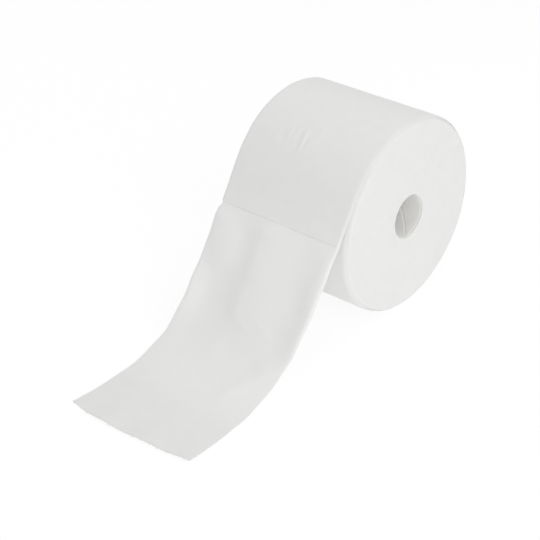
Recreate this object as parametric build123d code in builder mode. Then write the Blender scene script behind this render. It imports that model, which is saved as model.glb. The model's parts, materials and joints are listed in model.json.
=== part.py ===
# Roll of soft cotton face towels on a paper core, lying on its side with its last sheet drawn out
#
# One long strip of nonwoven cotton is wound on a paper tube and perforated into sheets. The last sheet
# has been pulled off the front of the roll: it hangs to the table in soft lengthwise waves, lies flat at
# its end and stops at a torn perforation. The turns of the roll show on both ends as a spiral line.
#
# Frame, in millimetres: +X along the roll's axis, +Z up, the drawn-out sheet towards -Y.
# The origin is on the table, in the middle of the flat spot that the roll rests on.

import os
from math import acos, cos, degrees, floor, pi, radians, sin, sqrt

from build123d import *

# Roll and core
roll_diameter = 152.0
roll_width = 110.0  # also the width of every sheet
flat_spot = 20.0  # how wide the soft roll sits on the table
core_bore = 33.5
core_wall = 1.2

# Sheet
sheet_thickness = 0.6
sheet_length = 200.0  # from one perforation to the next

# Drawn-out sheet, seen along the roll's axis
lift_off_angle = 34.0  # degrees above the axis, where the strip leaves the roll
free_lead = 36.0  # from there to the perforation, in a straight line
straight_margin = 3.0  # the straight line goes on this far below the perforation
touchdown_reach = 196.0  # from the axis to where the sheet meets the table
drape_top_pull = 60.0  # how far the drape keeps its slope at the top
drape_foot_pull = 52.0  # how far out it levels off at the foot

# Lengthwise waves of the hanging stretch
wave_height = 2.4  # crest to trough
wave_length = 54.0
crest_place = -5.0  # the middle crest, along the axis
wave_sections = 9  # between the perforation and the table
wave_points = 13  # across a section

# Perforation, and the torn edge that it leaves
tie_pitch = 7.4
tie_width = 1.8
slit_width = 0.4
torn_tie_length = 1.2

# Spiral line of the turns on both ends
turn_pitch = 9.0
turn_line_width = 0.6
turn_line_depth = 0.5
plain_band = 3.0  # left clear beside the core and under the last turn

# Sizes that follow
roll_radius = roll_diameter / 2
core_radius = core_bore / 2 + core_wall
axis_height = sqrt(roll_radius**2 - (flat_spot / 2) ** 2)
half_width = roll_width / 2
slit_count = floor(roll_width / tie_pitch)
slit_length = tie_pitch - tie_width

# Points of the drawn-out strip in the plane across the axis, as (Y, Z)
roll_axis = Vector(0, axis_height)
lift_off = radians(lift_off_angle)
outward = Vector(-cos(lift_off), sin(lift_off))
downward = Vector(-sin(lift_off), -cos(lift_off))
upper_end = roll_axis + outward * roll_radius + downward * (free_lead + straight_margin)
lower_end = upper_end - outward * sheet_thickness
slit_row = roll_axis + outward * roll_radius + downward * free_lead
foot = Vector(-touchdown_reach, 0)

# Underside of the hanging stretch, from the end of the straight line to the table
with BuildLine(Plane.YZ):
    pulled_down = lower_end + downward * drape_top_pull
    levelled_off = foot + Vector(drape_foot_pull, 0)
    drape = Bezier(*[tuple(point) for point in (lower_end, pulled_down, levelled_off, foot)])
torn_edge_reach = touchdown_reach + sheet_length - straight_margin - drape.length


def wave(x, share):
    """Height of the sheet's waves at x along the axis, at a share of the way down the drape."""
    fade = sin(pi * share) ** 2
    return wave_height / 2 * fade * cos(2 * pi * (x - crest_place) / wave_length)


# Paper core
with BuildPart() as core_tube:
    with BuildSketch(Plane.YZ):
        with Locations(roll_axis):
            Circle(core_radius)
            Circle(core_bore / 2, mode=Mode.SUBTRACT)
    extrude(amount=half_width, both=True)
core_tube.part.label = "core_tube"

# Wound strip with its drawn-out sheet
with BuildPart() as towel_roll:
    # Roll and the straight start of the drawn-out strip, as one outline
    with BuildSketch(Plane.YZ):
        with BuildLine():
            spot_angle = degrees(acos(axis_height / roll_radius))  # half of the flat spot
            crotch_angle = degrees(acos(1 - sheet_thickness / roll_radius))  # strip still on the roll
            over_top = 270 - lift_off_angle - spot_angle
            back = CenterArc(roll_axis, roll_radius, spot_angle - 90, over_top)
            under = 90 + lift_off_angle - crotch_angle - spot_angle
            front = CenterArc(roll_axis, roll_radius, 180 - lift_off_angle + crotch_angle, under)
            Polyline(back @ 1, upper_end, lower_end, front @ 0)
            Line(front @ 1, back @ 0)
        make_face()
        with Locations(roll_axis):
            Circle(core_radius, mode=Mode.SUBTRACT)
    extrude(amount=half_width, both=True)

    # Hanging stretch, through wavy sections across the drape
    for section in range(wave_sections):
        share = section / (wave_sections - 1)
        with BuildSketch(Plane(origin=drape @ share, x_dir=(1, 0, 0), z_dir=drape % share)):
            with BuildLine():
                xs = [half_width * (2 * i / (wave_points - 1) - 1) for i in range(wave_points)]
                lower = Spline(*[(x, wave(x, share)) for x in xs])
                upper = Spline(*[(x, wave(x, share) + sheet_thickness) for x in xs])
                Line(lower @ 0, upper @ 0)
                Line(lower @ 1, upper @ 1)
            make_face()
    loft()

    # Flat end on the table, with torn ties along its edge
    with BuildSketch():
        with Locations((0, -touchdown_reach)):
            flat_length = torn_edge_reach + torn_tie_length - touchdown_reach
            Rectangle(roll_width, flat_length, align=(Align.CENTER, Align.MAX))
        with Locations((0, -torn_edge_reach - torn_tie_length)):
            with GridLocations(tie_pitch, 0, slit_count, 1):
                Rectangle(slit_length, 2 * torn_tie_length, mode=Mode.SUBTRACT)
    extrude(amount=sheet_thickness)

    # Perforation across the straight start
    slit_middle = Plane.YZ.from_local_coords(slit_row)
    sheet_normal = Plane.YZ.from_local_coords(outward)
    with BuildSketch(Plane(origin=slit_middle, x_dir=(1, 0, 0), z_dir=sheet_normal)):
        with GridLocations(tie_pitch, 0, slit_count, 1):
            Rectangle(slit_length, slit_width)
    extrude(amount=2 * sheet_thickness, both=True, mode=Mode.SUBTRACT)

    # Spiral line of the turns, of half circles about two centres, cut into both ends
    for end in (-1, 1):
        with BuildSketch(Plane.YZ.offset(end * half_width)):
            with BuildLine():
                first_radius = core_radius + plain_band
                half_turns = floor((roll_radius - plain_band - first_radius) / (turn_pitch / 2))
                for half_turn in range(half_turns):
                    centre = roll_axis + Vector(turn_pitch / 4 * (-1) ** half_turn, 0)
                    radius = first_radius + turn_pitch / 2 * half_turn
                    CenterArc(centre, radius, 180 * (half_turn % 2), 180)
            trace(line_width=turn_line_width)
        extrude(amount=turn_line_depth, both=True, mode=Mode.SUBTRACT)
towel_roll.part.label = "towel_roll"

os.makedirs("parts", exist_ok=True)
for piece in (core_tube, towel_roll):
    export_step(piece.part, f"parts/{piece.part.label}.step")
    print(piece.part.label, "solids", len(piece.part.solids()), "volume", round(piece.part.volume))
print("drape length", round(drape.length, 1), "torn edge at", round(torn_edge_reach, 1))
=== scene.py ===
import json
import math

import bpy
import numpy as np
from mathutils import Matrix, Vector


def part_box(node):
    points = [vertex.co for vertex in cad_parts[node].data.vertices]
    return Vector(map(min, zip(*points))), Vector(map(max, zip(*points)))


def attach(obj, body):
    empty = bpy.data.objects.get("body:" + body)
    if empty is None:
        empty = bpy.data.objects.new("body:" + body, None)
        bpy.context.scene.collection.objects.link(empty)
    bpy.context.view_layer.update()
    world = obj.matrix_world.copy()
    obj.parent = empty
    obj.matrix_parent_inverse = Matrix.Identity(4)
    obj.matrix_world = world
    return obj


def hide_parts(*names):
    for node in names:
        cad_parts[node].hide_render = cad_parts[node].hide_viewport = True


# A roll of cotton face towels on a paper core, with its last sheet drawn out over the table.
# Metres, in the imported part's frame: X along the roll's axis, Z up, the drawn-out sheet towards -Y.

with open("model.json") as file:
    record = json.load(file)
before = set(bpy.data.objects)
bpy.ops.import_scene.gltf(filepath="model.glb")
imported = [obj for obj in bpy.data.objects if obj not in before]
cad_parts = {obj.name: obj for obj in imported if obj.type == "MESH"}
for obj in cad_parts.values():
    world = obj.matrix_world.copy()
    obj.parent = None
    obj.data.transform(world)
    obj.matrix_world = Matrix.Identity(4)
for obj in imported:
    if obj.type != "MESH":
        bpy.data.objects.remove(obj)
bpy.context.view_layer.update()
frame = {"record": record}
mm = 0.001
sharpAngle = math.radians(50)  # an edge that turns more than this is shaded as a sharp one

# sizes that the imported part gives
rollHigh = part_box("towel_roll")[1]
coreMount = next(mount for mount in frame["record"]["mounts"] if mount["name"] == "core_bore")
axisHeight = coreMount["pos_m"][2]
boreRadius = coreMount["dims"]["r_mm"] * mm
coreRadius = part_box("core_tube")[1].y
rollRadius = rollHigh.y
halfWidth = rollHigh.x
print("frame: roll radius", round(rollRadius / mm, 2), "mm, half width", round(halfWidth / mm, 2), "mm")


def linearColour(hexText):
    parts = [int(hexText[i:i + 2], 16) / 255 for i in (1, 3, 5)]
    return [c / 12.92 if c <= 0.04045 else ((c + 0.055) / 1.055) ** 2.4 for c in parts] + [1.0]


def addNode(tree, kind, inputs=None, **settings):
    node = tree.nodes.new(kind)
    for name, value in settings.items():
        setattr(node, name, value)
    for key, value in (inputs or {}).items():
        if isinstance(value, bpy.types.Node):
            value = value.outputs[0]
        if isinstance(value, bpy.types.NodeSocket):
            tree.links.new(value, node.inputs[key])
        else:
            node.inputs[key].default_value = value
    return node


def newMaterial(name):
    material = bpy.data.materials.new(name)
    material.use_nodes = True
    tree = material.node_tree
    tree.nodes.clear()
    return material, tree


def newTree(name, sizes):
    tree = bpy.data.node_groups.new(name, "GeometryNodeTree")
    tree.interface.new_socket("Geometry", in_out="INPUT", socket_type="NodeSocketGeometry")
    for size in sizes:
        tree.interface.new_socket(size, in_out="INPUT", socket_type="NodeSocketFloat")
    tree.interface.new_socket("Geometry", in_out="OUTPUT", socket_type="NodeSocketGeometry")
    return tree, addNode(tree, "NodeGroupInput").outputs


def finishTree(tree, geometry, material):
    real = addNode(tree, "GeometryNodeRealizeInstances", {"Geometry": geometry})
    finished = addNode(tree, "GeometryNodeSetMaterial", {"Geometry": real, "Material": material})
    addNode(tree, "NodeGroupOutput", {"Geometry": finished})
    return tree


def giveTree(piece, tree, sizes):
    modifier = piece.modifiers.new(tree.name, "NODES")
    modifier.node_group = tree
    for item in tree.interface.items_tree:
        if item.in_out == "INPUT" and item.name in sizes:
            modifier[item.identifier] = sizes[item.name]


def newObject(name, data):
    made = bpy.data.objects.new(name, data)
    bpy.context.scene.collection.objects.link(made)
    return made


def newPiece(name, vertices, faces):
    mesh = bpy.data.meshes.new(name)
    mesh.from_pydata(np.asarray(vertices).reshape(-1, 3).tolist(), [], faces)
    return newObject(name, mesh)


def makePlain(piece):
    # the evaluated result becomes the piece's own mesh, and no modifier is left
    graph = bpy.context.evaluated_depsgraph_get()
    made = bpy.data.meshes.new_from_object(piece.evaluated_get(graph))
    piece.modifiers.clear()
    piece.data = made
    return made


def smooth(low, high, value):
    t = np.clip((value - low) / (high - low), 0, 1)
    return t * t * (3 - 2 * t)


# Camera

view = {
    "azimuth": math.radians(40.886),
    "elevation": math.radians(32.420),
    "roll": math.radians(-1.583),
    "focalPixels": 1602.44,
    "framePixels": 540,
    "distance": 15.970 * rollRadius,  # from the eye to the middle of the roll
    "rollPixel": (79.10, -76.56),  # where that middle shows, right of and below the frame's centre
    "sensor": 36.0,
    "clip": (0.05, 20),
}


def makeCamera():
    a, e, turn = view["azimuth"], view["elevation"], view["roll"]
    back = Vector((math.sin(a) * math.cos(e), -math.cos(a) * math.cos(e), math.sin(e)))
    level = Vector((math.cos(a), math.sin(a), 0))
    upright = back.cross(level)
    right = level * math.cos(turn) + upright * math.sin(turn)
    up = upright * math.cos(turn) - level * math.sin(turn)
    u, v = (pixel / view["focalPixels"] for pixel in view["rollPixel"])
    ray = (right * u - up * v - back).normalized()
    data = bpy.data.cameras.new("camera")
    data.sensor_width = view["sensor"]
    data.lens = view["sensor"] * view["focalPixels"] / view["framePixels"]
    data.clip_start, data.clip_end = view["clip"]
    camera = newObject("camera", data)
    camera.matrix_world = Matrix((
        (right.x, up.x, back.x, 0),
        (right.y, up.y, back.y, 0),
        (right.z, up.z, back.z, 0),
        (0, 0, 0, 1),
    ))
    camera.location = Vector((0, 0, axisHeight)) - ray * view["distance"]
    bpy.context.scene.camera = camera


makeCamera()
print("camera: set")


# Materials

cottonLook = {
    "bright": "#F5F5F4",
    "thin": "#F0F0EF",  # where the fibres lie thinner
    "paintedLight": "#FBFBFA",  # painted light: this whiter colour stands in for the light from behind that comes through where the sheet hangs free
    "paintedLightShare": 0.6,
    "hangMiddle": 72 * mm,  # along the strip from the perforation
    "hangFull": 50 * mm,  # to either side of that
    "hangEnd": 92 * mm,
    "cloud": 9 * mm,  # size of the cloudy patches
    "fibreWidth": 0.9 * mm,  # real ones are 0.02 mm: drawn this coarse to show at all
    "fibreLength": 9 * mm,
    "fibreLeans": (-38, 24, 71),  # degrees
    "fibreDepth": 0.12 * mm,
    "bumpStrength": 0.5,
    "roughness": 0.92,
    "specular": 0.2,
    "sheen": 0.15,
    "sheenRoughness": 0.6,
}


def cottonCloth(name, follows):
    # hydroentangled cotton: matt and faintly cloudy, with a tangle of fibres and a little fuzz; on the strip,
    # painted light makes the hanging part whiter
    material, tree = newMaterial(name)
    if follows == "strip":
        place = addNode(tree, "ShaderNodeUVMap", uv_map="strip").outputs["UV"]
    else:
        place = addNode(tree, "ShaderNodeTexCoord").outputs["Object"]
    cloud = addNode(tree, "ShaderNodeTexNoise",
                    {"Vector": place, "Scale": 1 / cottonLook["cloud"], "Detail": 3.0, "Roughness": 0.6})
    colour = addNode(tree, "ShaderNodeMix",
                     {"Factor": cloud.outputs["Fac"],
                      "A": linearColour(cottonLook["bright"]), "B": linearColour(cottonLook["thin"])},
                     data_type="RGBA")
    # painted light: the hanging part of the sheet is painted whiter, for the light from behind that comes
    # through it
    if follows == "strip":
        along = addNode(tree, "ShaderNodeSeparateXYZ", {0: place}).outputs["Y"]
        fromMiddle = addNode(tree, "ShaderNodeMath",
                             {0: along, 1: cottonLook["hangMiddle"]}, operation="SUBTRACT")
        offMiddle = addNode(tree, "ShaderNodeMath", {0: fromMiddle}, operation="ABSOLUTE")
        paintedLight = addNode(tree, "ShaderNodeMapRange",
                         {"Value": offMiddle,
                          "From Min": cottonLook["hangFull"], "From Max": cottonLook["hangEnd"],
                          "To Min": cottonLook["paintedLightShare"], "To Max": 0.0},
                         interpolation_type="SMOOTHSTEP")
        colour = addNode(tree, "ShaderNodeMix",
                         {"Factor": paintedLight.outputs["Result"], "A": colour.outputs["Result"],
                          "B": linearColour(cottonLook["paintedLight"])}, data_type="RGBA")
    tangle = None
    for lean in cottonLook["fibreLeans"]:
        turned = addNode(tree, "ShaderNodeMapping",
                         {"Vector": place, "Rotation": (0, 0, math.radians(lean)),
                          "Scale": (1 / cottonLook["fibreLength"], 1 / cottonLook["fibreWidth"],
                                    1 / cottonLook["fibreWidth"])})
        fibre = addNode(tree, "ShaderNodeTexNoise", {"Vector": turned, "Scale": 1.0, "Detail": 2.0})
        if tangle is None:
            tangle = fibre.outputs["Fac"]
        else:
            tangle = addNode(tree, "ShaderNodeMath",
                             {0: tangle, 1: fibre.outputs["Fac"]}, operation="MAXIMUM")
    bump = addNode(tree, "ShaderNodeBump",
                   {"Height": tangle, "Strength": cottonLook["bumpStrength"],
                    "Distance": cottonLook["fibreDepth"]})
    shader = addNode(tree, "ShaderNodeBsdfPrincipled",
                     {"Base Color": colour.outputs["Result"], "Roughness": cottonLook["roughness"],
                      "Sheen Weight": cottonLook["sheen"],
                      "Sheen Roughness": cottonLook["sheenRoughness"],
                      "Specular IOR Level": cottonLook["specular"], "Normal": bump})
    addNode(tree, "ShaderNodeOutputMaterial", {"Surface": shader})
    return material


paperLook = {
    "white": "#FBFBF9",
    "fleck": "#F4F3F0",
    "fleckSize": 2.5 * mm,
    "fleckDepth": 0.05 * mm,
    "bumpStrength": 0.3,
    "roughness": 0.78,
    "specular": 0.3,
}


def corePaper():
    # bleached board, spiral-wound: matt, flatter than the cotton, with faint pulp flecks
    material, tree = newMaterial("whiteCoreBoard")
    place = addNode(tree, "ShaderNodeTexCoord").outputs["Object"]
    pulp = addNode(tree, "ShaderNodeTexNoise",
                   {"Vector": place, "Scale": 1 / paperLook["fleckSize"], "Detail": 4.0, "Roughness": 0.7})
    colour = addNode(tree, "ShaderNodeMix",
                     {"Factor": pulp.outputs["Fac"],
                      "A": linearColour(paperLook["white"]), "B": linearColour(paperLook["fleck"])},
                     data_type="RGBA")
    bump = addNode(tree, "ShaderNodeBump",
                   {"Height": pulp.outputs["Fac"], "Strength": paperLook["bumpStrength"],
                    "Distance": paperLook["fleckDepth"]})
    shader = addNode(tree, "ShaderNodeBsdfPrincipled",
                     {"Base Color": colour.outputs["Result"], "Roughness": paperLook["roughness"],
                      "Specular IOR Level": paperLook["specular"], "Normal": bump})
    addNode(tree, "ShaderNodeOutputMaterial", {"Surface": shader})
    return material


sheetCotton = cottonCloth("cottonNonwoven", "strip")
edgeCotton = cottonCloth("cottonCutEdges", "object")
coreBoard = corePaper()
print("materials: made")


# Outer turn of the strip with the drawn-out sheet, one continuous cloth

strip = {
    "thickness": 0.6 * mm,
    "turnDrop": 0.66 * mm,  # how much deeper the strip lies a turn further in
    "tuck": 0.2,  # radians of strip hidden under the lift-off
    "liftOff": math.radians(34),  # above the axis, where the strip leaves the roll
    "freeLead": 36 * mm,  # from there to the perforation
    "straightMargin": 3 * mm,
    "touchdown": 196 * mm,  # from the axis to where the sheet meets the table
    "topPull": 60 * mm,
    "footPull": 52 * mm,
    "sheetLength": 200 * mm,
    "settle": 0.3 * mm,  # how softly its flat spot on the table begins
    "hugsUntil": -30 * mm,  # along from the perforation: its edges follow the roll's rim to here
    "freeFrom": -8 * mm,  # and hang free from here
    "rollStep": 2.8 * mm,  # mesh rows on the roll and on the drawn-out sheet
    "tailStep": 1.4 * mm,
    "turnPoints": 1600,  # points that its line is measured by
    "drapePoints": 800,
    "straightPoints": 200,
}
rim = {  # soft outer corner of both ends, which the outer turn and the turns under it share
    "proud": 1.6 * mm,  # how far the soft ends swell past the sheet's width
    "reach": 5.5 * mm,  # along the axis
    "depth": 3.4 * mm,  # towards it
    "power": 2.0,
    "leftShare": 0.6,  # the left end is less rounded
    "edgeShare": 0.25,  # the outer turn is pressed this thin at its edges
    "edgeWidth": 1.8 * mm,
    "swell": 0.7 * mm,  # the roll is a little fuller towards its right end
    "swellFrom": 4 * mm,  # above the table
    "swellFull": 40 * mm,
}
perforation = {
    "tiePitch": 7.4 * mm,
    "tieWidth": 1.8 * mm,
    "slitWidth": 0.06 * mm,
    "slitColumns": 5,
    "marginColumns": 4,
    "tornTie": 0.75 * mm,
    "tieRows": (0.5, 1),  # mesh rows along a torn tie, as shares of it
    "tiePull": (-0.5, 0.6),  # torn ties end unevenly, as shares of their length
    "tieFray": 0.15,
    "tieSeed": 11,
    "upperDip": 0.16 * mm,  # at the free perforation the drawn-out sheet starts a step lower
    "lowerDip": 0.47 * mm,
    "dipWidth": 1.3 * mm,
    "kick": 0.6 * mm,  # and swings out of the line that the roll gives it
    "kickWidth": 7 * mm,
    "kickFade": 45 * mm,
    "lip": 0.2 * mm,  # on the roll the cut lips stand up a little
    "lipWidth": 0.9 * mm,
    "rowsBeside": (0.6, 1.2, 2.0, 3.0),  # mm
    "rowGap": 0.4 * mm,  # at least, to the next plain row
    "foldsFrom": -2 * mm,  # the free perforation itself stays straight, and the folds start below it
    "foldsFull": 12 * mm,
}
tipWave = {  # places along the sheet are measured from the perforation
    "height": 0.9 * mm,
    "length": 36 * mm,
    "crest": -22 * mm,
    "waveFrom": 158 * mm,
    "waveFull": 194 * mm,
    "lift": 0.6 * mm,  # the torn edge stands off the table
    "liftFrom": 180 * mm,
    "curl": 1.1 * mm,  # and turns up at its very end
    "curlWidth": 2.0 * mm,
    "cornerWidth": 14 * mm,  # less at its left corner
    "cornerShare": 0.45,
    "bow": 4.9 * mm,  # how far the pull drew the torn edge out between its corners
    "bowFrom": 110 * mm,
    "bowMiddle": -25 * mm,
    "bowLeft": 32 * mm,
    "bowRight": 80 * mm,
}
rolledEdge = {  # the drawn-out sheet's edges roll under, more on the right, until it lies flat
    "leftTurn": 0.8,  # radians
    "rightTurn": 1.3,
    "leastTurn": 0.001,
    "leftWidth": 3.0 * mm,
    "rightWidth": 3.2 * mm,
    "fadeFrom": 40 * mm,
    "flatAt": 125 * mm,
}
nick = {  # the left edge is drawn in just below the perforation
    "depth": 1.3 * mm,
    "place": 2 * mm,
    "width": 1.6 * mm,
    "inner": -49 * mm,
    "outer": -55 * mm,
}
softness = {  # the cloth is nowhere quite even, except where it lies on the table
    "height": 0.25 * mm,
    "size": 26 * mm,
    "sizeRange": (0.7, 1.5),
    "waves": 7,
    "rollShare": 0.5,  # it shows less on the roll than on the sheet
    "sheetFrom": -40 * mm,
    "sheetFull": 20 * mm,
    "fadeFrom": 100 * mm,
    "flatAt": 150 * mm,
    "seed": 5,
}
# where the sheet's edges lie against its straight cut, in mm: along from the perforation, left, right
edgeWander = [
    (-10, 0, 0), (30, 0.9, 1.6), (55, 3.4, 1.6), (80, 5.1, 0.4), (100, 4.6, -1.0), (122, 2.4, -1.4),
    (147, 3.4, 0.1), (176, 3.7, 1.2), (200, 2.4, 1.4),
]
# soft folds below the perforation and small creases on the roll, in mm: (across, along) from the middle of
# the perforation, from one end to the other, with how softly each side falls and how far its ends fade
sheetFolds = [
    {"from": (-4, 6), "to": (-5, 62), "height": 3.9, "left": 10, "right": 19, "fade": 13},
    {"from": (-54, 2), "to": (-38, 40), "height": 3.3, "left": 8, "right": 11, "fade": 6},
    {"from": (-56, 60), "to": (-56, 80), "height": 6.0, "left": 9, "right": 8, "fade": 16},
    {"from": (-33, 50), "to": (-34, 70), "height": -0.5, "left": 9, "right": 14, "fade": 12},
    {"from": (51, 32), "to": (52, 56), "height": 3.7, "left": 8, "right": 7, "fade": 21},
    {"from": (29, 125), "to": (43, 105), "height": 1.9, "left": 5, "right": 6, "fade": 8},
    {"from": (-6, 74), "to": (8, 80), "height": 0.35, "left": 1.5, "right": 1.5, "fade": 2},
    {"from": (16, 73), "to": (28, 79), "height": 0.35, "left": 1.5, "right": 1.5, "fade": 2},
]
rollCreases = [
    {"from": (-28.7, -58), "to": (-28.2, -54), "height": 0.4, "left": 1.3, "right": 1.2, "fade": 1.5},
    {"from": (-20.6, -65), "to": (-20, -58), "height": 0.6, "left": 1.4, "right": 1.1, "fade": 1.8},
    {"from": (-15.2, -68), "to": (-16, -62), "height": 0.65, "left": 1.2, "right": 1.3, "fade": 2},
    {"from": (-8, -69), "to": (-6.4, -56), "height": 0.85, "left": 1.5, "right": 1.2, "fade": 2},
    {"from": (-1, -65), "to": (-2, -58), "height": 0.7, "left": 1.3, "right": 1.2, "fade": 2},
    {"from": (3.2, -72), "to": (2.6, -65), "height": 0.65, "left": 1.3, "right": 1.5, "fade": 2.5},
]


def stripLine():
    # the strip's outer face seen along the axis: distance from the perforation, Y and Z
    lift = strip["liftOff"]
    downward = np.array([-math.sin(lift), -math.cos(lift)])
    middle = np.array([0, axisHeight])
    back = np.linspace(2 * math.pi + strip["tuck"], 0, strip["turnPoints"])
    radius = rollRadius - strip["turnDrop"] * back / (2 * math.pi)
    angle = math.pi - lift - back
    wound = middle + radius[:, None] * np.stack([np.cos(angle), np.sin(angle)], axis=1)
    wound[:, 1] = (wound[:, 1] + np.sqrt(wound[:, 1] ** 2 + strip["settle"] ** 2)) / 2  # flat spot
    leadLength = strip["freeLead"] + strip["straightMargin"]
    straight = wound[-1] + downward * np.linspace(0, leadLength, strip["straightPoints"])[1:, None]
    foot = np.array([-strip["touchdown"], strip["thickness"]])
    pulls = (straight[-1], straight[-1] + downward * strip["topPull"],
             foot + np.array([strip["footPull"], 0]), foot)
    u = np.linspace(0, 1, strip["drapePoints"])[1:, None]
    weights = ((1 - u) ** 3, 3 * (1 - u) ** 2 * u, 3 * (1 - u) * u ** 2, u ** 3)
    hanging = sum(weight * pull for weight, pull in zip(weights, pulls))
    onTable = np.linspace(0, strip["sheetLength"] / 2, strip["straightPoints"])[1:, None]
    flat = foot - np.array([1, 0]) * onTable
    line = np.vstack([wound, straight, hanging, flat])
    along = np.concatenate([[0], np.cumsum(np.hypot(*np.diff(line, axis=0).T))])
    return along - along[len(wound) - 1] - strip["freeLead"], line


lineAlong, linePoints = stripLine()
lineWay = np.gradient(linePoints, lineAlong, axis=0)
lineWay /= np.linalg.norm(lineWay, axis=1)[:, None]


def perforationPlaces():
    length = strip["sheetLength"]
    return [-length * i for i in range(3) if -length * i > lineAlong[0]]


def stripRows():
    low, lift, end = lineAlong[0], -strip["freeLead"], strip["sheetLength"]
    rows = np.concatenate([
        np.linspace(low, lift, round((lift - low) / strip["rollStep"]))[:-1],
        np.linspace(lift, end, round((end - lift) / strip["tailStep"])),
    ])
    beside = np.array([perforation["slitWidth"] / 2, *[row * mm for row in perforation["rowsBeside"]]])
    for cut in perforationPlaces():
        rows = rows[np.abs(rows - cut) > beside[-1] + perforation["rowGap"]]
        rows = np.concatenate([rows, cut - beside, cut + beside])
    tips = end + perforation["tornTie"] * np.array(perforation["tieRows"])
    return np.unique(np.round(np.concatenate([rows, tips]), 6))


def stripColumns():
    pitch, tie = perforation["tiePitch"], perforation["tieWidth"]
    count = int(2 * halfWidth // pitch)
    halfRow = count * pitch / 2
    slit = np.linspace(tie / 2, pitch - tie / 2, perforation["slitColumns"] + 1)
    cells = [-halfRow + i * pitch + np.concatenate([[0], slit]) for i in range(count)]
    margin = np.linspace(halfRow, halfWidth, perforation["marginColumns"] + 1)
    return np.concatenate([-margin[:0:-1], *cells, margin]), halfRow


def foldRise(x, s, fold):
    start, end = np.array(fold["from"]) * mm, np.array(fold["to"]) * mm
    length = math.hypot(*(end - start))
    way = (end - start) / length
    along = (x - start[0]) * way[0] + (s - start[1]) * way[1]
    aside = (x - start[0]) * way[1] - (s - start[1]) * way[0]
    beyond = np.maximum(np.abs(along - length / 2) - length / 2, 0)
    soft = np.where(aside > 0, fold["right"], fold["left"]) * mm
    return fold["height"] * mm * np.exp(-(aside / soft) ** 2 / 2 - (beyond / (fold["fade"] * mm)) ** 2 / 2)


def softUnevenness(x, s):
    draw = np.random.default_rng(softness["seed"])
    total = 0
    for _ in range(softness["waves"]):
        way, shift = draw.uniform(0, 2 * math.pi, 2)
        wave = softness["size"] * draw.uniform(*softness["sizeRange"])
        total = total + np.sin((x * math.cos(way) + s * math.sin(way)) * 2 * math.pi / wave + shift)
    return total / softness["waves"]


def sheetRise(x, s):
    # how far the sheet stands out of its plain line
    below = smooth(perforation["foldsFrom"], perforation["foldsFull"], s)
    rise = below * sum(foldRise(x, s, fold) for fold in sheetFolds)
    rise += sum(foldRise(x, s, crease) for crease in rollCreases)
    tip = 1 + np.cos((x - tipWave["crest"]) * 2 * math.pi / tipWave["length"])
    fromCorner = smooth(-halfWidth, tipWave["cornerWidth"] - halfWidth, x)
    corner = tipWave["cornerShare"] + (1 - tipWave["cornerShare"]) * fromCorner
    rise += corner * tipWave["height"] / 2 * tip * smooth(tipWave["waveFrom"], tipWave["waveFull"], s)
    offTable = 1 - smooth(softness["fadeFrom"], softness["flatAt"], s)
    onSheet = softness["rollShare"] + smooth(softness["sheetFrom"], softness["sheetFull"], s)
    rise += softness["height"] * softUnevenness(x, s) * offTable * onSheet
    rise += corner * tipWave["lift"] * smooth(tipWave["liftFrom"], strip["sheetLength"], s)
    rise += corner * tipWave["curl"] * np.exp((s - strip["sheetLength"]) / tipWave["curlWidth"])
    for cut in perforationPlaces():
        off = np.abs(s - cut)
        if cut > -strip["freeLead"]:
            depth = np.where(s < cut, perforation["upperDip"], perforation["lowerDip"])
            rise -= depth * np.exp(-off / perforation["dipWidth"])
            kick = np.exp(-off / perforation["kickFade"]) - np.exp(-off / perforation["kickWidth"])
            rise += np.where(s < cut, 0, perforation["kick"] * kick)
        else:
            rise += perforation["lip"] * np.exp(-(off / perforation["lipWidth"]) ** 2)
    return rise


def onRoll(s):
    return 1 - smooth(strip["hugsUntil"], strip["freeFrom"], s)


def edgeShare(x, s):
    # thickness of the strip against its full one
    thin = smooth(halfWidth - rim["edgeWidth"], halfWidth, np.abs(x)) * onRoll(s)
    return 1 - (1 - rim["edgeShare"]) * thin


def edgeCurl(x, s):
    # on the roll the edges lie over its soft rim, and on the drawn-out sheet they roll under
    side = np.where(x > 0, 1, rim["leftShare"])
    past = np.clip((np.abs(x) - halfWidth - rim["proud"]) / (rim["reach"] * side) + 1, 0, 1)
    rimFall = rim["depth"] * side * (1 - (1 - past ** rim["power"]) ** (1 / rim["power"]))
    rimFall += strip["thickness"] * (1 - edgeShare(x, s))
    fade = 1 - smooth(rolledEdge["fadeFrom"], rolledEdge["flatAt"], s)
    turn = np.where(x > 0, rolledEdge["rightTurn"], rolledEdge["leftTurn"]) * fade
    length = np.where(x > 0, rolledEdge["rightWidth"], rolledEdge["leftWidth"])
    radius = length / np.maximum(turn, rolledEdge["leastTurn"])
    bend = np.maximum(np.abs(x) - (halfWidth - length), 0) / radius
    place = np.where(bend > 0, np.sign(x) * (halfWidth - length + radius * np.sin(bend)), x)
    drop = radius * (1 - np.cos(bend))
    roll = onRoll(s)
    return place + roll * (x - place), drop + roll * (rimFall - drop)


def edgeDrift(x, s):
    # both edges wander as the sheet hangs
    toRight = x / halfWidth / 2 + 0.5
    drift = 0
    for (low, left, right), (high, nextLeft, nextRight) in zip(edgeWander, edgeWander[1:]):
        step = (1 - toRight) * (nextLeft - left) + toRight * (nextRight - right)
        drift = drift + step * mm * smooth(low * mm, high * mm, s)
    return drift


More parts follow.
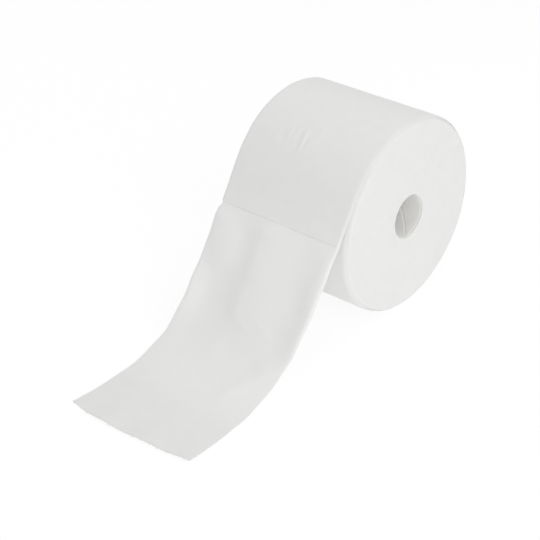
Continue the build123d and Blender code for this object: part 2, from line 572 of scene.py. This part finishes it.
def stripPoint(x, s):
    offBow = x - tipWave["bowMiddle"]
    bow = np.clip(1 - (offBow / np.where(offBow < 0, tipWave["bowLeft"], tipWave["bowRight"])) ** 2, 0, 1)
    drawn = s + tipWave["bow"] * bow * smooth(tipWave["bowFrom"], strip["sheetLength"], s)
    way = np.stack([np.interp(drawn, lineAlong, lineWay[:, i]) for i in (0, 1)], axis=-1)
    plain = np.stack([np.interp(drawn, lineAlong, linePoints[:, i]) for i in (0, 1)], axis=-1)
    across, drop = edgeCurl(x, s)
    across = across + edgeDrift(x, s)
    atNick = np.exp(-((s - nick["place"]) / nick["width"]) ** 2) * smooth(nick["inner"], nick["outer"], x)
    offTable = smooth(rim["swellFrom"], rim["swellFull"], plain[..., 1])
    swell = rim["swell"] * (x / halfWidth + 1) / 2 * onRoll(s) * offTable
    rise = sheetRise(x, s) + swell - drop
    y = plain[..., 0] + way[..., 1] * rise
    z = plain[..., 1] - way[..., 0] * rise
    return np.stack([across + nick["depth"] * atNick, y, z], axis=-1)


def perforateTree():
    # takes the faces of the slits out of the strip, and between the torn ties at its end
    sizes = ["Tie Pitch", "Tie Width", "Slit Width", "Sheet Length", "Half Row"]
    tree, given = newTree("perforateStrip", sizes)
    across = addNode(tree, "GeometryNodeInputNamedAttribute", {"Name": "stripAcross"}, data_type="FLOAT")
    along = addNode(tree, "GeometryNodeInputNamedAttribute", {"Name": "stripAlong"}, data_type="FLOAT")
    fromEdge = addNode(tree, "ShaderNodeMath", {0: across, 1: given["Half Row"]}, operation="ADD")
    cells = addNode(tree, "ShaderNodeMath", {0: fromEdge, 1: given["Tie Pitch"]}, operation="DIVIDE")
    cell = addNode(tree, "ShaderNodeMath", {0: cells}, operation="FRACT")
    offMiddle = addNode(tree, "ShaderNodeMath", {0: cell, 1: 0.5}, operation="SUBTRACT")
    offCell = addNode(tree, "ShaderNodeMath", {0: offMiddle}, operation="ABSOLUTE")
    offSlit = addNode(tree, "ShaderNodeMath", {0: offCell, 1: given["Tie Pitch"]}, operation="MULTIPLY")
    slit = addNode(tree, "ShaderNodeMath",
                   {0: given["Tie Pitch"], 1: given["Tie Width"]}, operation="SUBTRACT")
    halfSlit = addNode(tree, "ShaderNodeMath", {0: slit, 1: 0.5}, operation="MULTIPLY")
    inSlit = addNode(tree, "ShaderNodeMath", {0: offSlit, 1: halfSlit}, operation="LESS_THAN")
    offAxis = addNode(tree, "ShaderNodeMath", {0: across}, operation="ABSOLUTE")
    inRow = addNode(tree, "ShaderNodeMath", {0: offAxis, 1: given["Half Row"]}, operation="LESS_THAN")
    sheets = addNode(tree, "ShaderNodeMath", {0: along, 1: given["Sheet Length"]}, operation="DIVIDE")
    sheetNumber = addNode(tree, "ShaderNodeMath", {0: sheets}, operation="ROUND")
    cutPlace = addNode(tree, "ShaderNodeMath",
                       {0: sheetNumber, 1: given["Sheet Length"]}, operation="MULTIPLY")
    fromCut = addNode(tree, "ShaderNodeMath", {0: along, 1: cutPlace}, operation="SUBTRACT")
    offCut = addNode(tree, "ShaderNodeMath", {0: fromCut}, operation="ABSOLUTE")
    halfCut = addNode(tree, "ShaderNodeMath", {0: given["Slit Width"], 1: 0.5}, operation="MULTIPLY")
    atCut = addNode(tree, "ShaderNodeMath", {0: offCut, 1: halfCut}, operation="LESS_THAN")
    torn = addNode(tree, "ShaderNodeMath", {0: along, 1: given["Sheet Length"]}, operation="GREATER_THAN")
    cutOrTorn = addNode(tree, "ShaderNodeMath", {0: atCut, 1: torn}, operation="MAXIMUM")
    slitFace = addNode(tree, "ShaderNodeMath", {0: inSlit, 1: inRow}, operation="MULTIPLY")
    gone = addNode(tree, "ShaderNodeMath", {0: slitFace, 1: cutOrTorn}, operation="MULTIPLY")
    opened = addNode(tree, "GeometryNodeDeleteGeometry",
                     {"Geometry": given["Geometry"], "Selection": gone}, domain="FACE")
    return finishTree(tree, opened, sheetCotton)


def makeStrip():
    columns, halfRow = stripColumns()
    rows = stripRows()
    x, s = np.meshgrid(columns, rows)
    points = stripPoint(x, s)
    draw = np.random.default_rng(perforation["tieSeed"])
    last = rows > strip["sheetLength"]
    tieNumber = np.round((columns + halfRow) / perforation["tiePitch"]).astype(int)
    pull = draw.uniform(*perforation["tiePull"], tieNumber.max() + 2)[tieNumber]
    pull = pull + draw.uniform(-perforation["tieFray"], perforation["tieFray"], len(columns))
    points[last, :, 1] -= np.array(perforation["tieRows"])[:, None] * pull * perforation["tornTie"]
    wide, tall = len(columns), len(rows)
    corner = (np.arange(tall - 1)[:, None] * wide + np.arange(wide - 1)).ravel()
    faces = np.stack([corner, corner + wide, corner + wide + 1, corner + 1], axis=1).tolist()
    piece = newPiece("cotton_strip", points, faces)
    for name, values in (("stripAcross", x), ("stripAlong", s)):
        layer = piece.data.attributes.new(name, "FLOAT", "POINT")
        layer.data.foreach_set("value", values.ravel().astype(np.float32))
    uv = piece.data.uv_layers.new(name="strip")
    corners = np.array(faces).ravel()
    laidFlat = np.stack([x.ravel()[corners], s.ravel()[corners]], axis=1)
    uv.data.foreach_set("uv", laidFlat.ravel().astype(np.float32))
    giveTree(piece, perforateTree(), {
        "Tie Pitch": perforation["tiePitch"], "Tie Width": perforation["tieWidth"],
        "Slit Width": perforation["slitWidth"], "Sheet Length": strip["sheetLength"], "Half Row": halfRow,
    })
    fullness = piece.vertex_groups.new(name="fullness")
    share = ((edgeShare(x, s) - rim["edgeShare"]) / (1 - rim["edgeShare"])).ravel()
    for index, weight in enumerate(share.tolist()):
        fullness.add([index], weight, "REPLACE")
    solid = piece.modifiers.new("thickness", "SOLIDIFY")
    solid.thickness = strip["thickness"]
    solid.offset = -1
    solid.vertex_group = fullness.name
    solid.thickness_vertex_group = rim["edgeShare"]
    mesh = makePlain(piece)
    mesh.shade_smooth()
    mesh.set_sharp_from_angle(angle=sharpAngle)
    return piece, rows[-1] - rows[0]


cottonStrip, stripLength = makeStrip()
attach(cottonStrip, "root")
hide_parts("towel_roll")
print("strip:", len(cottonStrip.data.polygons), "faces,", round(stripLength / mm), "mm long")


# Wound turns under the outer one, with the edge of every turn on both ends

core = {  # the turns close over its ends, and the board itself is made after them
    "lead": -86 * mm,  # along the axis for one turn of the seam
    "seamAngle": math.radians(335.5),  # where the seam passes
    "seamAt": 37.4 * mm,
    "seamWidth": 0.9 * mm,
    "seamDepth": 0.35 * mm,
    "seamColumns": (-3, -1, -0.5, 0, 0.5, 1, 3),  # beside the seam, in half widths of it
    "around": 72,
    "along": 56,
    "edgeRound": 0.25 * mm,
    "recess": 0.3 * mm,
}
turns = {
    "pitch": 1.2 * mm,  # two sheets: a single one is too fine to show
    "edgesPerTurn": 4,
    "around": 180,
    "relief": 0.11 * mm,  # groove between two turns
    "wander": 0.12 * mm,  # how unevenly the turns are wound
    "wanderScale": 0.7,  # changes a turn
    "dish": 0.6 * mm,  # the ends sink a little towards the core
    "dishWidth": 12 * mm,
    "lipRings": 6,  # the innermost turns close over the end of the board
    "lip": 1.0 * mm,
    "spareRings": 2,
    "tuckFrom": 0.03,  # shares of a turn, over which the strip's tucked end runs out
    "tuckTo": 0.06,
    "clearance": 0.06 * mm,
    "weld": 0.005 * mm,
}


def woundTree(perEnd):
    sizes = ["Core Radius", "Roll Radius", "Half Width", "Axis Height", "Lift Off", "Turn Pitch",
             "Relief", "Wander", "Rim Reach", "Rim Depth", "Turn Drop", "Table Gap", "Board End", "Lip",
             "Dish", "Swell"]
    tree, given = newTree("windTurns", sizes)
    grid = addNode(tree, "GeometryNodeMeshGrid",
                   {"Size X": 1.0, "Size Y": 1.0,
                    "Vertices X": 2 * perEnd + 1, "Vertices Y": turns["around"] + 1})
    place = addNode(tree, "ShaderNodeSeparateXYZ", {0: addNode(tree, "GeometryNodeInputPosition")}).outputs
    # v: share of a turn back from the lift-off; step: place round the section, over both ends
    v = addNode(tree, "ShaderNodeMath", {0: place["Y"], 1: 0.5}, operation="ADD")
    stepShare = addNode(tree, "ShaderNodeMath", {0: place["X"], 1: 0.5}, operation="ADD")
    stepPlace = addNode(tree, "ShaderNodeMath", {0: stepShare, 1: 2.0 * perEnd}, operation="MULTIPLY")
    stepRound = addNode(tree, "ShaderNodeMath", {0: stepPlace}, operation="ROUND")
    step = addNode(tree, "ShaderNodeMath", {0: stepRound, 1: 2.0 * perEnd}, operation="MODULO")
    fromMiddle = addNode(tree, "ShaderNodeMath", {0: step, 1: perEnd - 0.5}, operation="SUBTRACT")
    side = addNode(tree, "ShaderNodeMath", {0: fromMiddle}, operation="SIGN")
    middleGap = addNode(tree, "ShaderNodeMath", {0: fromMiddle}, operation="ABSOLUTE")
    ring = addNode(tree, "ShaderNodeMath", {0: perEnd - 0.5, 1: middleGap}, operation="SUBTRACT")
    # the first rings make the soft lip over the end of the board
    lipCount, edgeCount = float(turns["lipRings"]), float(turns["edgesPerTurn"])
    lipShare = addNode(tree, "ShaderNodeMath", {0: ring, 1: lipCount}, operation="DIVIDE", use_clamp=True)
    lipAngle = addNode(tree, "ShaderNodeMath", {0: lipShare, 1: math.pi}, operation="MULTIPLY")
    lipSine = addNode(tree, "ShaderNodeMath", {0: lipAngle}, operation="SINE")
    lipIn = addNode(tree, "ShaderNodeMath", {0: lipSine, 1: given["Lip"]}, operation="MULTIPLY")
    lipCosine = addNode(tree, "ShaderNodeMath", {0: lipAngle}, operation="COSINE")
    lipOut = addNode(tree, "ShaderNodeMath", {0: lipCosine, 1: -0.5, 2: 0.5}, operation="MULTIPLY_ADD")
    pastLip = addNode(tree, "ShaderNodeMath", {0: ring, 1: lipCount}, operation="SUBTRACT")
    woundRing = addNode(tree, "ShaderNodeMath", {0: pastLip, 1: 0.0}, operation="MAXIMUM")
    ringTurn = addNode(tree, "ShaderNodeMath", {0: woundRing, 1: edgeCount}, operation="DIVIDE")
    turn = addNode(tree, "ShaderNodeMath", {0: ringTurn, 1: v}, operation="ADD")
    turnsOut = addNode(tree, "ShaderNodeMath", {0: turn, 1: 1.0}, operation="SUBTRACT")
    freeRadius = addNode(tree, "ShaderNodeMath",
                         {0: turnsOut, 1: given["Turn Pitch"], 2: given["Core Radius"]},
                         operation="MULTIPLY_ADD")
    # the outermost turn follows the strip's spiral and makes room for its tucked end
    tuckEnd = addNode(tree, "ShaderNodeMapRange",
                      {"Value": v, "From Min": turns["tuckFrom"], "From Max": turns["tuckTo"],
                       "To Min": 1.0, "To Max": 0.0},
                      interpolation_type="SMOOTHSTEP")
    layers = addNode(tree, "ShaderNodeMath", {0: v, 1: tuckEnd}, operation="ADD")
    drop = addNode(tree, "ShaderNodeMath", {0: layers, 1: given["Turn Drop"]}, operation="MULTIPLY")
    evenOuter = addNode(tree, "ShaderNodeMath", {0: given["Roll Radius"], 1: drop}, operation="SUBTRACT")
    backTurn = addNode(tree, "ShaderNodeMath", {0: v, 1: -2 * math.pi}, operation="MULTIPLY")
    fromFront = addNode(tree, "ShaderNodeMath", {0: backTurn, 1: given["Lift Off"]}, operation="SUBTRACT")
    angle = addNode(tree, "ShaderNodeMath", {0: fromFront, 1: math.pi}, operation="ADD")
    cosine = addNode(tree, "ShaderNodeMath", {0: angle}, operation="COSINE")
    sine = addNode(tree, "ShaderNodeMath", {0: angle}, operation="SINE")
    outerHeight = addNode(tree, "ShaderNodeMath",
                          {0: evenOuter, 1: sine, 2: given["Axis Height"]}, operation="MULTIPLY_ADD")
    offTable = addNode(tree, "ShaderNodeMapRange",
                       {"Value": outerHeight, "From Min": rim["swellFrom"], "From Max": rim["swellFull"]},
                       interpolation_type="SMOOTHSTEP")
    rightEnd = addNode(tree, "ShaderNodeMath", {0: side, 1: 0.0}, operation="MAXIMUM")
    swellShare = addNode(tree, "ShaderNodeMath",
                         {0: rightEnd, 1: offTable.outputs["Result"]}, operation="MULTIPLY")
    outer = addNode(tree, "ShaderNodeMath",
                    {0: swellShare, 1: given["Swell"], 2: evenOuter}, operation="MULTIPLY_ADD")
    capped = addNode(tree, "ShaderNodeMath", {0: freeRadius, 1: outer}, operation="MINIMUM")
    turnRadius = addNode(tree, "ShaderNodeMath", {0: capped, 1: given["Core Radius"]}, operation="MAXIMUM")
    radius = addNode(tree, "ShaderNodeMath", {0: turnRadius, 1: lipIn}, operation="SUBTRACT")
    # relief of the turns' edges, nothing where a turn meets the core or the outer one
    inGap = addNode(tree, "ShaderNodeMath", {0: turnRadius, 1: given["Core Radius"]}, operation="SUBTRACT")
    outGap = addNode(tree, "ShaderNodeMath", {0: outer, 1: turnRadius}, operation="SUBTRACT")
    edgeGap = addNode(tree, "ShaderNodeMath", {0: inGap, 1: outGap}, operation="MINIMUM")
    within = addNode(tree, "ShaderNodeMapRange", {"Value": edgeGap, "From Max": turns["pitch"] / 4})
    phase = addNode(tree, "ShaderNodeMath", {0: ringTurn}, operation="FRACT")
    halfWave = addNode(tree, "ShaderNodeMath", {0: phase, 1: math.pi}, operation="MULTIPLY")
    arch = addNode(tree, "ShaderNodeMath", {0: halfWave}, operation="SINE")
    turnNumber = addNode(tree, "ShaderNodeMath", {0: ringTurn}, operation="FLOOR")
    wound = addNode(tree, "ShaderNodeMath", {0: turnNumber, 1: v}, operation="ADD")
    uneven = addNode(tree, "ShaderNodeTexNoise",
                     {"W": wound, "Scale": turns["wanderScale"], "Detail": 2.0}, noise_dimensions="1D")
    archRise = addNode(tree, "ShaderNodeMath", {0: arch, 1: given["Relief"]}, operation="MULTIPLY")
    unevenRise = addNode(tree, "ShaderNodeMath",
                         {0: uneven.outputs["Fac"], 1: given["Wander"], 2: archRise},
                         operation="MULTIPLY_ADD")
    rise = addNode(tree, "ShaderNodeMath", {0: unevenRise, 1: within.outputs["Result"]}, operation="MULTIPLY")
    deepest = addNode(tree, "ShaderNodeMath", {0: given["Relief"], 1: given["Wander"]}, operation="ADD")
    sunk = addNode(tree, "ShaderNodeMath", {0: given["Half Width"], 1: deepest}, operation="SUBTRACT")
    rimScale = addNode(tree, "ShaderNodeMapRange",
                       {"Value": side, "From Min": -1.0, "To Min": rim["leftShare"]})
    rimDepth = addNode(tree, "ShaderNodeMath",
                       {0: rimScale.outputs["Result"], 1: given["Rim Depth"]}, operation="MULTIPLY")
    rimReach = addNode(tree, "ShaderNodeMath",
                       {0: rimScale.outputs["Result"], 1: given["Rim Reach"]}, operation="MULTIPLY")
    rimStart = addNode(tree, "ShaderNodeMath", {0: outer, 1: rimDepth}, operation="SUBTRACT")
    pastRim = addNode(tree, "ShaderNodeMath", {0: turnRadius, 1: rimStart}, operation="SUBTRACT")
    onRim = addNode(tree, "ShaderNodeMath", {0: pastRim, 1: 0.0}, operation="MAXIMUM")
    rimShare = addNode(tree, "ShaderNodeMath", {0: onRim, 1: rimDepth}, operation="DIVIDE", use_clamp=True)
    rimPower = addNode(tree, "ShaderNodeMath", {0: rimShare, 1: rim["power"]}, operation="POWER")
    rimRest = addNode(tree, "ShaderNodeMath", {0: 1.0, 1: rimPower}, operation="SUBTRACT", use_clamp=True)
    rimRound = addNode(tree, "ShaderNodeMath", {0: rimRest, 1: 1 / rim["power"]}, operation="POWER")
    rimLeft = addNode(tree, "ShaderNodeMath", {0: 1.0, 1: rimRound}, operation="SUBTRACT")
    rimFall = addNode(tree, "ShaderNodeMath", {0: rimLeft, 1: rimReach}, operation="MULTIPLY")
    dishShare = addNode(tree, "ShaderNodeMapRange",
                        {"Value": inGap, "From Max": turns["dishWidth"], "To Min": 1.0, "To Max": 0.0},
                        interpolation_type="SMOOTHSTEP")
    dishFall = addNode(tree, "ShaderNodeMath",
                       {0: dishShare.outputs["Result"], 1: given["Dish"]}, operation="MULTIPLY")
    faceOut = addNode(tree, "ShaderNodeMath", {0: sunk, 1: rise}, operation="ADD")
    faceDished = addNode(tree, "ShaderNodeMath", {0: faceOut, 1: dishFall}, operation="SUBTRACT")
    faceRound = addNode(tree, "ShaderNodeMath", {0: faceDished, 1: rimFall}, operation="SUBTRACT")
    pastBoard = addNode(tree, "ShaderNodeMath", {0: faceRound, 1: given["Board End"]}, operation="SUBTRACT")
    faceOff = addNode(tree, "ShaderNodeMath",
                      {0: pastBoard, 1: lipOut, 2: given["Board End"]}, operation="MULTIPLY_ADD")
    x = addNode(tree, "ShaderNodeMath", {0: faceOff, 1: side}, operation="MULTIPLY")
    y = addNode(tree, "ShaderNodeMath", {0: radius, 1: cosine}, operation="MULTIPLY")
    height = addNode(tree, "ShaderNodeMath",
                     {0: radius, 1: sine, 2: given["Axis Height"]}, operation="MULTIPLY_ADD")
    z = addNode(tree, "ShaderNodeMath", {0: height, 1: given["Table Gap"]}, operation="MAXIMUM")
    spot = addNode(tree, "ShaderNodeCombineXYZ", {"X": x, "Y": y, "Z": z})
    shaped = addNode(tree, "GeometryNodeSetPosition", {"Geometry": grid.outputs["Mesh"], "Position": spot})
    closed = addNode(tree, "GeometryNodeMergeByDistance", {"Geometry": shaped, "Distance": turns["weld"]})
    soft = addNode(tree, "GeometryNodeSetShadeSmooth", {"Geometry": closed})
    return finishTree(tree, soft, edgeCotton)


def makeTurns():
    underSheet = rollRadius - strip["thickness"] - turns["clearance"]
    turnCount = (underSheet + rim["swell"] - coreRadius) / turns["pitch"] + 1
    perEnd = math.ceil(turns["edgesPerTurn"] * turnCount) + turns["spareRings"] + turns["lipRings"]
    piece = newPiece("wound_turns", [(0, 0, 0)], [])
    giveTree(piece, woundTree(perEnd), {
        "Core Radius": coreRadius + turns["clearance"], "Roll Radius": underSheet,
        "Half Width": halfWidth + rim["proud"], "Axis Height": axisHeight,
        "Lift Off": strip["liftOff"], "Turn Pitch": turns["pitch"], "Relief": turns["relief"],
        "Wander": turns["wander"], "Rim Reach": rim["reach"], "Rim Depth": rim["depth"],
        "Turn Drop": strip["turnDrop"], "Table Gap": strip["thickness"] + turns["clearance"],
        "Board End": halfWidth - core["recess"] + turns["clearance"], "Lip": turns["lip"],
        "Dish": turns["dish"], "Swell": rim["swell"],
    })
    makePlain(piece)
    return piece


woundTurns = makeTurns()
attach(woundTurns, "root")
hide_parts("towel_roll")
print("turns:", len(woundTurns.data.polygons), "faces")


# Paper core with the butt seam of its inner ply

def makeCore():
    # rings along the section: out over the inner wall, back over the outer one
    reach = halfWidth - core["recess"]
    edge = core["edgeRound"]
    inner = np.linspace(-reach + edge, reach - edge, core["along"])
    ringX = np.concatenate([inner, [reach, reach], inner[::-1], [-reach, -reach]])
    wall = coreRadius - boreRadius
    fromBore = [0 * inner, [edge, wall - edge], wall + 0 * inner, [wall - edge, edge]]
    ringR = boreRadius + np.concatenate(fromBore)
    onInner = np.arange(len(ringX)) < len(inner)
    # columns follow the seam, a groove with a flat floor and sloping sides
    half = core["seamWidth"] / 2 / boreRadius
    near = np.array(core["seamColumns"]) * half
    far = np.linspace(near[-1], 2 * math.pi + near[0], core["around"])[1:-1]
    column = np.concatenate([near, far])
    groove = core["seamDepth"] * np.clip(1.5 - np.abs(column / half), 0, 1) * (np.abs(column) < 2 * half)
    angle = core["seamAngle"] + (ringX[:, None] - core["seamAt"]) * 2 * math.pi / core["lead"] + column
    radius = ringR[:, None] + onInner[:, None] * groove
    x, y, z = ringX[:, None] + 0 * angle, radius * np.cos(angle), axisHeight + radius * np.sin(angle)
    points = np.stack([x, y, z], axis=-1)
    rings, wide = angle.shape
    i, j = np.meshgrid(np.arange(rings), np.arange(wide), indexing="ij")
    nextI, nextJ = (i + 1) % rings, (j + 1) % wide
    faces = np.stack([i * wide + j, nextI * wide + j, nextI * wide + nextJ, i * wide + nextJ], axis=-1)
    piece = newPiece("core_board", points, faces.reshape(-1, 4).tolist())
    piece.data.materials.append(coreBoard)
    piece.data.shade_smooth()
    piece.data.set_sharp_from_angle(angle=sharpAngle)
    return piece


coreTube = makeCore()
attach(coreTube, "root")
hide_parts("core_tube")
print("core:", len(coreTube.data.polygons), "faces")


# Loose fibres on the torn edge

fibres = {
    "perTie": 4,
    "perSlit": 1,
    "length": 0.7 * mm,
    "lengthRange": (0.4, 1.2),
    "radius": 0.045 * mm,
    "bend": 0.3,  # of the length
    "spread": 0.9,  # radians to either side
    "tilt": (-0.25, 0.1),  # radians
    "twist": 3.1,
    "alongTie": 0.6,  # where they start, as shares of a torn tie and of the sheet's thickness
    "underFace": 0.4,
    "seed": 3,
}


def fibreTree():
    tree, given = newTree("tornFibres", ["Length", "Radius", "Spread"])
    bow = addNode(tree, "ShaderNodeMath", {0: given["Length"], 1: fibres["bend"]}, operation="MULTIPLY")
    reach = addNode(tree, "ShaderNodeMath", {0: given["Length"], 1: -1.0}, operation="MULTIPLY")
    half = addNode(tree, "ShaderNodeMath", {0: reach, 1: 0.5}, operation="MULTIPLY")
    middle = addNode(tree, "ShaderNodeCombineXYZ", {"X": bow, "Y": half, "Z": bow})
    end = addNode(tree, "ShaderNodeCombineXYZ", {"Y": reach})
    bent = addNode(tree, "GeometryNodeCurveQuadraticBezier",
                   {"Resolution": 4, "Start": (0, 0, 0), "Middle": middle, "End": end})
    ring = addNode(tree, "GeometryNodeCurvePrimitiveCircle", {"Resolution": 3, "Radius": given["Radius"]})
    hair = addNode(tree, "GeometryNodeCurveToMesh",
                   {"Curve": bent, "Profile Curve": ring.outputs["Curve"], "Fill Caps": True})
    lowTurn = addNode(tree, "ShaderNodeMath", {0: given["Spread"], 1: -1.0}, operation="MULTIPLY")
    lowTilt, highTilt = fibres["tilt"]
    low = addNode(tree, "ShaderNodeCombineXYZ", {"X": lowTilt, "Y": -fibres["twist"], "Z": lowTurn})
    high = addNode(tree, "ShaderNodeCombineXYZ", {"X": highTilt, "Y": fibres["twist"], "Z": given["Spread"]})
    turn = addNode(tree, "FunctionNodeRandomValue",
                   {0: low, 1: high, "Seed": fibres["seed"]}, data_type="FLOAT_VECTOR")
    shortest, longest = fibres["lengthRange"]
    size = addNode(tree, "FunctionNodeRandomValue",
                   {2: shortest, 3: longest, "Seed": fibres["seed"] + 1}, data_type="FLOAT")
    soft = addNode(tree, "GeometryNodeSetShadeSmooth", {"Geometry": hair})
    tufts = addNode(tree, "GeometryNodeInstanceOnPoints",
                    {"Points": given["Geometry"], "Instance": soft, "Rotation": turn.outputs["Value"],
                     "Scale": size.outputs[1]})
    return finishTree(tree, tufts, edgeCotton)


def makeFibres():
    draw = np.random.default_rng(fibres["seed"])
    pitch, tie = perforation["tiePitch"], perforation["tieWidth"]
    count = int(2 * halfWidth // pitch)
    ties = (np.arange(count + 1) - count / 2) * pitch
    slits = (np.arange(count) - (count - 1) / 2) * pitch
    atTies = np.repeat(ties, fibres["perTie"])
    atTies = atTies + draw.uniform(-tie / 2, tie / 2, len(atTies))
    atSlits = np.repeat(slits, fibres["perSlit"])
    atSlits = atSlits + draw.uniform(tie - pitch, pitch - tie, len(atSlits)) / 2
    x = np.clip(np.concatenate([atTies, atSlits]), -halfWidth, halfWidth)
    onTie = fibres["alongTie"] * perforation["tornTie"]
    s = strip["sheetLength"] + np.concatenate([onTie + 0 * atTies, 0 * atSlits])
    points = stripPoint(x, s)
    points[:, 2] -= fibres["underFace"] * strip["thickness"]
    piece = newPiece("torn_fibres", points, [])
    giveTree(piece, fibreTree(), {
        "Length": fibres["length"], "Radius": fibres["radius"], "Spread": fibres["spread"],
    })
    makePlain(piece)
    return piece


tornFibres = makeFibres()
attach(tornFibres, "root")
print("fibres:", len(tornFibres.data.polygons), "faces")


# Table, light and background

stage = {
    "floorSize": 6.0,
    "floorWhite": "#FAFAFA",
    "cleanShare": 0.8,  # of the table's own white, against its shadows
    "cleanStrength": 1.06,
    "tableGlow": 0.195,  # a lit table, which fills the shade under the sheet
    "skyStrength": 0.39,
    "softboxSize": 0.8,
    "softboxDistance": 1.3,  # from the middle of the roll
}
lamps = [
    {"name": "topSoftbox", "way": (0.0, 0.0, 1.0), "power": 3.1},
    {"name": "backSoftbox", "way": (0.30, 0.60, 0.75), "power": 1.8},
    {"name": "leftSoftbox", "way": (-0.80, 0.10, 0.60), "power": 2.0},
    {"name": "rightSoftbox", "way": (0.75, -0.25, 0.62), "power": 3.0},
    {"name": "frontSoftbox", "way": (0.62, -0.68, 0.30), "power": 2.4},
]


def seenRay(tree):
    # what the eye sees, straight or in a gloss or glass, against what lights the object
    rays = addNode(tree, "ShaderNodeLightPath").outputs
    mirrored = addNode(tree, "ShaderNodeMath",
                       {0: rays["Is Camera Ray"], 1: rays["Is Glossy Ray"]}, operation="MAXIMUM")
    return addNode(tree, "ShaderNodeMath",
                   {0: mirrored, 1: rays["Is Transmission Ray"]}, operation="MAXIMUM")


def makeFloor():
    half = stage["floorSize"] / 2
    corners = [(-half, -half, 0), (half, -half, 0), (half, half, 0), (-half, half, 0)]
    floor = newPiece("table", corners, [(0, 1, 2, 3)])
    material, tree = newMaterial("paleTable")
    plain = addNode(tree, "ShaderNodeBsdfDiffuse", {"Color": linearColour(stage["floorWhite"])})
    clean = addNode(tree, "ShaderNodeEmission", {"Color": (1, 1, 1, 1), "Strength": stage["cleanStrength"]})
    seen = addNode(tree, "ShaderNodeMixShader", {"Fac": stage["cleanShare"], 1: plain, 2: clean})
    glow = addNode(tree, "ShaderNodeEmission", {"Color": (1, 1, 1, 1), "Strength": stage["tableGlow"]})
    lit = addNode(tree, "ShaderNodeAddShader", {0: plain, 1: glow})
    ground = addNode(tree, "ShaderNodeMixShader", {"Fac": seenRay(tree), 1: lit, 2: seen})
    addNode(tree, "ShaderNodeOutputMaterial", {"Surface": ground})
    floor.data.materials.append(material)


def makeLight():
    world = bpy.data.worlds.new("studio")
    world.use_nodes = True
    tree = world.node_tree
    tree.nodes.clear()
    sky = addNode(tree, "ShaderNodeBackground", {"Color": (1, 1, 1, 1), "Strength": stage["skyStrength"]})
    white = addNode(tree, "ShaderNodeBackground", {"Color": (1, 1, 1, 1), "Strength": 1.0})
    both = addNode(tree, "ShaderNodeMixShader", {"Fac": seenRay(tree), 1: sky, 2: white})
    addNode(tree, "ShaderNodeOutputWorld", {"Surface": both})
    bpy.context.scene.world = world
    for lamp in lamps:
        data = bpy.data.lights.new(lamp["name"], "AREA")
        data.size = stage["softboxSize"]
        data.energy = lamp["power"]
        box = newObject(lamp["name"], data)
        way = Vector(lamp["way"]).normalized()
        box.location = Vector((0, 0, axisHeight)) + way * stage["softboxDistance"]
        box.rotation_mode = "QUATERNION"
        box.rotation_quaternion = way.to_track_quat("Z", "Y")
        box.visible_camera = False


makeFloor()
makeLight()
bpy.context.scene.view_settings.view_transform = "Standard"
print("stage: set")
